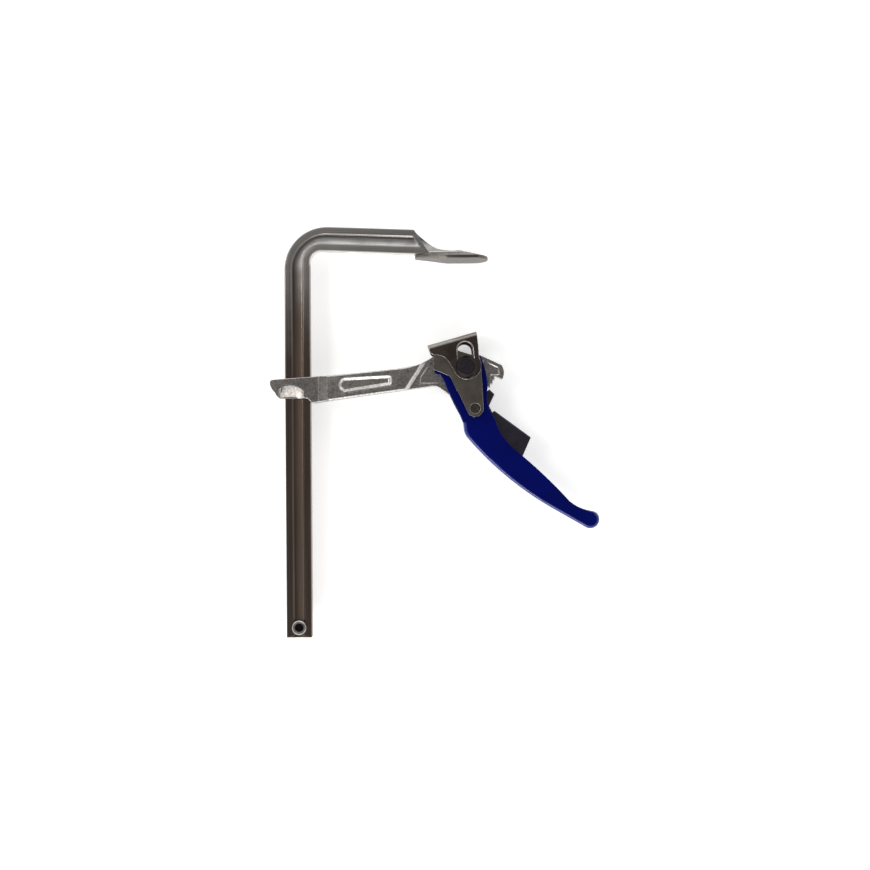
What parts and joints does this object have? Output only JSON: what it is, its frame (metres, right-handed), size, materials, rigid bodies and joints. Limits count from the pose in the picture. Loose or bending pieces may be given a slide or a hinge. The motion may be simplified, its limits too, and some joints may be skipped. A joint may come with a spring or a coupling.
{
  "type": "quick bar clamp",
  "caption": "Ratchet-lever steel bar clamp: forged rail with a fixed jaw, a sliding arm, and a channel-section lever whose cams push a slotted pressure piece.",
  "frame": {"origin": "middle of the fixed jaw's clamping face, half way through the thickness", "axes": "+Y up the rail towards the fixed jaw, +X from the rail towards the throat's open side, +Z square to the plane of the bar, towards the pivot pin's head"},
  "size_m": [0.3259, 0.4084, 0.0401],
  "materials": {
    "rail_steel": "forged, oiled, dark",
    "forged_steel": "forged, shot blasted",
    "bright_steel": "turned",
    "black_steel": "blackened",
    "browned_steel": "heat-treated, dark",
    "blue_paint": "gloss enamel"
  },
  "bodies": {
    "bar": {"fixed_bar": "rail_steel", "end_stop_pin": "bright_steel"},
    "arm": {"sliding_arm": "forged_steel"},
    "pivot": {"pivot_pin": "black_steel", "pivot_washer": "black_steel"},
    "lever": {"lever": "blue_paint", "cam_plate_front": "browned_steel", "cam_plate_rear": "browned_steel", "link_rivet": "black_steel", "pawl_spacer_front": "bright_steel", "pawl_spacer_rear": "bright_steel", "pawl_spring": "bright_steel"},
    "pawl": {"ratchet_pawl": "black_steel", "release_trigger": "black_steel", "trigger_rivet_upper": "black_steel", "trigger_rivet_lower": "black_steel"},
    "pad": {"pressure_piece": "browned_steel"}
  },
  "joints": [
    {"name": "arm_slide", "type": "slide", "parent": "bar", "child": "arm", "axis": [0, 1, 0], "range_m": [-0.22, 0.066]},
    {"name": "lever_swing", "type": "hinge", "parent": "arm", "child": "lever", "pos_m": [0.0134, -0.107, 0], "axis": [0, 0, -1], "range_deg": [-22, 30]},
    {"name": "pad_swing", "type": "hinge", "parent": "arm", "child": "pivot", "pos_m": [0.0134, -0.107, 0], "axis": [0, 0, 1], "range_deg": [-18, 0]},
    {"name": "pad_lift", "type": "slide", "parent": "pivot", "child": "pad", "axis": [-0.0872, 0.9962, 0], "range_m": [-0.0024, 0.0033]},
    {"name": "pawl_release", "type": "hinge", "parent": "lever", "child": "pawl", "pos_m": [0.0217, -0.148, 0], "axis": [0, 0, -1], "range_deg": [0, 9], "stiffness_Nm_per_rad": 0.15, "springref_deg": -20.05, "deforming": ["pawl_spring"]}
  ],
  "couplings": [
    {"joint": "pad_lift", "follows": "lever_swing", "m_per_rad": 0.006104}
  ]
}
